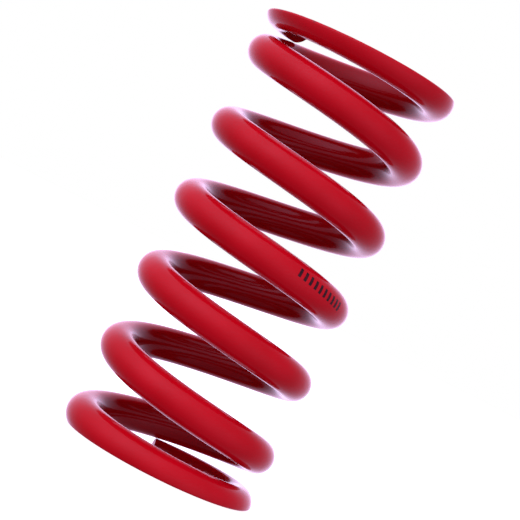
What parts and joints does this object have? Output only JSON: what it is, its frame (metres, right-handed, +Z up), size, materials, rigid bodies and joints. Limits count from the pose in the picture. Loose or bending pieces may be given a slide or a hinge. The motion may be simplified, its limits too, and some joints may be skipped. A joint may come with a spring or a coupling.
{
  "type": "coil spring",
  "caption": "Left-hand helical compression spring of round steel wire with closed, ground-flat end coils and a red powder coat, for a shock absorber.",
  "frame": {"origin": "centre of the lower ground face, on the coil's axis", "axes": "+Z up along the coil's axis, from the lower ground face to the upper one; -Y is the side seen from the front, and the wire's lower tip is 7 degrees past +Y towards -X"},
  "size_m": [0.0694, 0.0694, 0.15],
  "materials": {
    "powder_coat": "gloss red powder coat with a slight orange peel"
  },
  "bodies": {
    "bottom_end": {"bottom_end_coil": "powder_coat"},
    "top_end": {"top_end_coil": "powder_coat"},
    "stretch_01": {"active_coil_stretch_01": "powder_coat"},
    "stretch_02": {"active_coil_stretch_02": "powder_coat"},
    "stretch_03": {"active_coil_stretch_03": "powder_coat"},
    "stretch_04": {"active_coil_stretch_04": "powder_coat"},
    "stretch_05": {"active_coil_stretch_05": "powder_coat"},
    "stretch_06": {"active_coil_stretch_06": "powder_coat"},
    "stretch_07": {"active_coil_stretch_07": "powder_coat"},
    "stretch_08": {"active_coil_stretch_08": "powder_coat"},
    "stretch_09": {"active_coil_stretch_09": "powder_coat"},
    "stretch_10": {"active_coil_stretch_10": "powder_coat"},
    "stretch_11": {"active_coil_stretch_11": "powder_coat"},
    "stretch_12": {"active_coil_stretch_12": "powder_coat"},
    "stretch_13": {"active_coil_stretch_13": "powder_coat"},
    "stretch_14": {"active_coil_stretch_14": "powder_coat"},
    "stretch_15": {"active_coil_stretch_15": "powder_coat"},
    "stretch_16": {"active_coil_stretch_16": "powder_coat"},
    "stretch_17": {"active_coil_stretch_17": "powder_coat"},
    "stretch_18": {"active_coil_stretch_18": "powder_coat"},
    "stretch_19": {"active_coil_stretch_19": "powder_coat"},
    "stretch_20": {"active_coil_stretch_20": "powder_coat"},
    "stretch_21": {"active_coil_stretch_21": "powder_coat"},
    "stretch_22": {"active_coil_stretch_22": "powder_coat"},
    "stretch_23": {"active_coil_stretch_23": "powder_coat"},
    "stretch_24": {"active_coil_stretch_24": "powder_coat"},
    "stretch_25": {"active_coil_stretch_25": "powder_coat"},
    "stretch_26": {"active_coil_stretch_26": "powder_coat"},
    "stretch_27": {"active_coil_stretch_27": "powder_coat"},
    "stretch_28": {"active_coil_stretch_28": "powder_coat"},
    "stretch_29": {"active_coil_stretch_29": "powder_coat"},
    "stretch_30": {"active_coil_stretch_30": "powder_coat"},
    "stretch_31": {"active_coil_stretch_31": "powder_coat"},
    "stretch_32": {"active_coil_stretch_32": "powder_coat"},
    "stretch_33": {"active_coil_stretch_33": "powder_coat"},
    "stretch_34": {"active_coil_stretch_34": "powder_coat"},
    "stretch_35": {"active_coil_stretch_35": "powder_coat"},
    "stretch_36": {"active_coil_stretch_36": "powder_coat"},
    "stretch_37": {"active_coil_stretch_37": "powder_coat"},
    "stretch_38": {"active_coil_stretch_38": "powder_coat"},
    "stretch_39": {"active_coil_stretch_39": "powder_coat"}
  },
  "joints": [
    {"name": "compression", "type": "slide", "parent": "bottom_end", "child": "top_end", "axis": [0, 0, -1], "range_m": [0, 0.06], "stiffness_N_per_m": 186000},
    {"name": "close_01", "type": "hinge", "parent": "bottom_end", "child": "stretch_01", "pos_m": [-0.00347, 0.02864, 0.01133], "axis": [0.2688, 0.9632, 0], "range_deg": [0, 0.24311]},
    {"name": "close_02", "type": "hinge", "parent": "bottom_end", "child": "stretch_02", "pos_m": [0.01593, 0.02601, 0.01452], "axis": [0.871, 0.4913, 0], "range_deg": [0, 1.42]},
    {"name": "close_03", "type": "hinge", "parent": "bottom_end", "child": "stretch_03", "pos_m": [0.03192, 0.01529, 0.01743], "axis": [0.9634, -0.2681, 0], "range_deg": [0, 3.01]},
    {"name": "close_04", "type": "hinge", "parent": "bottom_end", "child": "stretch_04", "pos_m": [0.04428, -0.0056, 0.02008], "axis": [0.4919, -0.8707, 0], "range_deg": [0, 4.19]},
    {"name": "close_05", "type": "hinge", "parent": "bottom_end", "child": "stretch_05", "pos_m": [0.04625, -0.04051, 0.02259], "axis": [-0.2675, -0.9636, 0], "range_deg": [0, 4.43]},
    {"name": "close_06", "type": "hinge", "parent": "bottom_end", "child": "stretch_06", "pos_m": [0.015, -0.08064, 0.02507], "axis": [-0.8703, -0.4924, 0], "range_deg": [0, 4.43]},
    {"name": "close_07", "type": "hinge", "parent": "bottom_end", "child": "stretch_07", "pos_m": [-0.05231, -0.08901, 0.02756], "axis": [-0.9637, 0.2669, 0], "range_deg": [0, 4.43]},
    {"name": "close_08", "type": "hinge", "parent": "bottom_end", "child": "stretch_08", "pos_m": [-0.1192, -0.03691, 0.03005], "axis": [-0.493, 0.87, 0], "range_deg": [0, 4.43]},
    {"name": "close_09", "type": "hinge", "parent": "bottom_end", "child": "stretch_09", "pos_m": [-0.13178, 0.06406, 0.03253], "axis": [0.2663, 0.9639, 0], "range_deg": [0, 4.43]},
    {"name": "close_10", "type": "hinge", "parent": "bottom_end", "child": "stretch_10", "pos_m": [-0.05887, 0.15774, 0.03502], "axis": [0.8697, 0.4936, 0], "range_deg": [0, 4.43]},
    {"name": "close_11", "type": "hinge", "parent": "bottom_end", "child": "stretch_11", "pos_m": [0.07575, 0.17456, 0.0375], "axis": [0.9641, -0.2657, 0], "range_deg": [0, 4.43]},
    {"name": "close_12", "type": "hinge", "parent": "bottom_end", "child": "stretch_12", "pos_m": [0.19625, 0.08088, 0.03999], "axis": [0.4941, -0.8694, 0], "range_deg": [0, 4.43]},
    {"name": "close_13", "type": "hinge", "parent": "bottom_end", "child": "stretch_13", "pos_m": [0.21736, -0.08739, 0.04248], "axis": [-0.265, -0.9642, 0], "range_deg": [0, 4.43]},
    {"name": "close_14", "type": "hinge", "parent": "bottom_end", "child": "stretch_14", "pos_m": [0.10294, -0.23473, 0.04496], "axis": [-0.8691, -0.4947, 0], "range_deg": [0, 4.43]},
    {"name": "close_15", "type": "hinge", "parent": "bottom_end", "child": "stretch_15", "pos_m": [-0.09897, -0.26018, 0.04745], "axis": [-0.9644, 0.2644, 0], "range_deg": [0, 4.43]},
    {"name": "close_16", "type": "hinge", "parent": "bottom_end", "child": "stretch_16", "pos_m": [-0.27318, -0.12505, 0.04993], "axis": [-0.4952, 0.8688, 0], "range_deg": [0, 4.43]},
    {"name": "close_17", "type": "hinge", "parent": "bottom_end", "child": "stretch_17", "pos_m": [-0.30301, 0.1105, 0.05242], "axis": [0.2638, 0.9646, 0], "range_deg": [0, 4.43]},
    {"name": "close_18", "type": "hinge", "parent": "bottom_end", "child": "stretch_18", "pos_m": [-0.14721, 0.3116, 0.05491], "axis": [0.8684, 0.4958, 0], "range_deg": [0, 4.43]},
    {"name": "close_19", "type": "hinge", "parent": "bottom_end", "child": "stretch_19", "pos_m": [0.12197, 0.34585, 0.05739], "axis": [0.9647, -0.2632, 0], "range_deg": [0, 4.43]},
    {"name": "close_20", "type": "hinge", "parent": "bottom_end", "child": "stretch_20", "pos_m": [0.35, 0.16942, 0.05988], "axis": [0.4964, -0.8681, 0], "range_deg": [0, 4.43]},
    {"name": "close_21", "type": "hinge", "parent": "top_end", "child": "stretch_21", "pos_m": [-0.35993, 0.07031, 0.09237], "axis": [-0.2626, -0.9649, 0], "range_deg": [0, 4.43]},
    {"name": "close_22", "type": "hinge", "parent": "top_end", "child": "stretch_22", "pos_m": [-0.19387, 0.28492, 0.09485], "axis": [-0.8678, -0.4969, 0], "range_deg": [0, 4.43]},
    {"name": "close_23", "type": "hinge", "parent": "top_end", "child": "stretch_23", "pos_m": [0.05847, 0.31718, 0.09734], "axis": [-0.9651, 0.2619, 0], "range_deg": [0, 4.43]},
    {"name": "close_24", "type": "hinge", "parent": "top_end", "child": "stretch_24", "pos_m": [0.24633, 0.172, 0.09982], "axis": [-0.4975, 0.8675, 0], "range_deg": [0, 4.43]},
    {"name": "close_25", "type": "hinge", "parent": "top_end", "child": "stretch_25", "pos_m": [0.27442, -0.04668, 0.10231], "axis": [0.2613, 0.9653, 0], "range_deg": [0, 4.43]},
    {"name": "close_26", "type": "hinge", "parent": "top_end", "child": "stretch_26", "pos_m": [0.15008, -0.20778, 0.1048], "axis": [0.8672, 0.498, 0], "range_deg": [0, 4.43]},
    {"name": "close_27", "type": "hinge", "parent": "top_end", "child": "stretch_27", "pos_m": [-0.03494, -0.23165, 0.10728], "axis": [0.9654, -0.2607, 0], "range_deg": [0, 4.43]},
    {"name": "close_28", "type": "hinge", "parent": "top_end", "child": "stretch_28", "pos_m": [-0.16925, -0.1281, 0.10977], "axis": [0.4986, -0.8668, 0], "range_deg": [0, 4.43]},
    {"name": "close_29", "type": "hinge", "parent": "top_end", "child": "stretch_29", "pos_m": [-0.18886, 0.02326, 0.11225], "axis": [-0.2601, -0.9656, 0], "range_deg": [0, 4.43]},
    {"name": "close_30", "type": "hinge", "parent": "top_end", "child": "stretch_30", "pos_m": [-0.10608, 0.13075, 0.11474], "axis": [-0.8665, -0.4992, 0], "range_deg": [0, 4.43]},
    {"name": "close_31", "type": "hinge", "parent": "top_end", "child": "stretch_31", "pos_m": [0.01164, 0.14606, 0.11723], "axis": [-0.9658, 0.2594, 0], "range_deg": [0, 4.43]},
    {"name": "close_32", "type": "hinge", "parent": "top_end", "child": "stretch_32", "pos_m": [0.09227, 0.08401, 0.11971], "axis": [-0.4997, 0.8662, 0], "range_deg": [0, 4.43]},
    {"name": "close_33", "type": "hinge", "parent": "top_end", "child": "stretch_33", "pos_m": [0.10324, -0.00007, 0.1222], "axis": [0.2588, 0.9659, 0], "range_deg": [0, 4.43]},
    {"name": "close_34", "type": "hinge", "parent": "top_end", "child": "stretch_34", "pos_m": [0.06189, -0.05383, 0.12469], "axis": [0.8659, 0.5003, 0], "range_deg": [0, 4.43]},
    {"name": "close_35", "type": "hinge", "parent": "top_end", "child": "stretch_35", "pos_m": [0.01145, -0.06041, 0.12717], "axis": [0.9661, -0.2582, 0], "range_deg": [0, 4.43]},
    {"name": "close_36", "type": "hinge", "parent": "top_end", "child": "stretch_36", "pos_m": [-0.01764, -0.041, 0.12968], "axis": [0.5008, -0.8655, 0], "range_deg": [0, 4.19]},
    {"name": "close_37", "type": "hinge", "parent": "top_end", "child": "stretch_37", "pos_m": [-0.02937, -0.01976, 0.13233], "axis": [-0.2576, -0.9663, 0], "range_deg": [0, 3.01]},
    {"name": "close_38", "type": "hinge", "parent": "top_end", "child": "stretch_38", "pos_m": [-0.0305, -0.00053, 0.13524], "axis": [-0.8652, -0.5014, 0], "range_deg": [0, 1.42]},
    {"name": "close_39", "type": "hinge", "parent": "top_end", "child": "stretch_39", "pos_m": [-0.02292, 0.01752, 0.13842], "axis": [-0.9664, 0.257, 0], "range_deg": [0, 0.24311]}
  ],
  "couplings": [
    {"joint": "close_01", "follows": "compression", "rad_per_m": 0.070717},
    {"joint": "close_02", "follows": "compression", "rad_per_m": 0.41364},
    {"joint": "close_03", "follows": "compression", "rad_per_m": 0.87633},
    {"joint": "close_04", "follows": "compression", "rad_per_m": 1.2178},
    {"joint": "close_05", "follows": "compression", "rad_per_m": 1.2883},
    {"joint": "close_06", "follows": "compression", "rad_per_m": 1.2883},
    {"joint": "close_07", "follows": "compression", "rad_per_m": 1.2883},
    {"joint": "close_08", "follows": "compression", "rad_per_m": 1.2883},
    {"joint": "close_09", "follows": "compression", "rad_per_m": 1.2883},
    {"joint": "close_10", "follows": "compression", "rad_per_m": 1.2883},
    {"joint": "close_11", "follows": "compression", "rad_per_m": 1.2883},
    {"joint": "close_12", "follows": "compression", "rad_per_m": 1.2883},
    {"joint": "close_13", "follows": "compression", "rad_per_m": 1.2883},
    {"joint": "close_14", "follows": "compression", "rad_per_m": 1.2883},
    {"joint": "close_15", "follows": "compression", "rad_per_m": 1.2883},
    {"joint": "close_16", "follows": "compression", "rad_per_m": 1.2883},
    {"joint": "close_17", "follows": "compression", "rad_per_m": 1.2883},
    {"joint": "close_18", "follows": "compression", "rad_per_m": 1.2883},
    {"joint": "close_19", "follows": "compression", "rad_per_m": 1.2883},
    {"joint": "close_20", "follows": "compression", "rad_per_m": 1.2883},
    {"joint": "close_21", "follows": "compression", "rad_per_m": 1.2883},
    {"joint": "close_22", "follows": "compression", "rad_per_m": 1.2883},
    {"joint": "close_23", "follows": "compression", "rad_per_m": 1.2883},
    {"joint": "close_24", "follows": "compression", "rad_per_m": 1.2883},
    {"joint": "close_25", "follows": "compression", "rad_per_m": 1.2883},
    {"joint": "close_26", "follows": "compression", "rad_per_m": 1.2883},
    {"joint": "close_27", "follows": "compression", "rad_per_m": 1.2883},
    {"joint": "close_28", "follows": "compression", "rad_per_m": 1.2883},
    {"joint": "close_29", "follows": "compression", "rad_per_m": 1.2883},
    {"joint": "close_30", "follows": "compression", "rad_per_m": 1.2883},
    {"joint": "close_31", "follows": "compression", "rad_per_m": 1.2883},
    {"joint": "close_32", "follows": "compression", "rad_per_m": 1.2883},
    {"joint": "close_33", "follows": "compression", "rad_per_m": 1.2883},
    {"joint": "close_34", "follows": "compression", "rad_per_m": 1.2883},
    {"joint": "close_35", "follows": "compression", "rad_per_m": 1.2883},
    {"joint": "close_36", "follows": "compression", "rad_per_m": 1.2178},
    {"joint": "close_37", "follows": "compression", "rad_per_m": 0.87633},
    {"joint": "close_38", "follows": "compression", "rad_per_m": 0.41364},
    {"joint": "close_39", "follows": "compression", "rad_per_m": 0.070717}
  ]
}
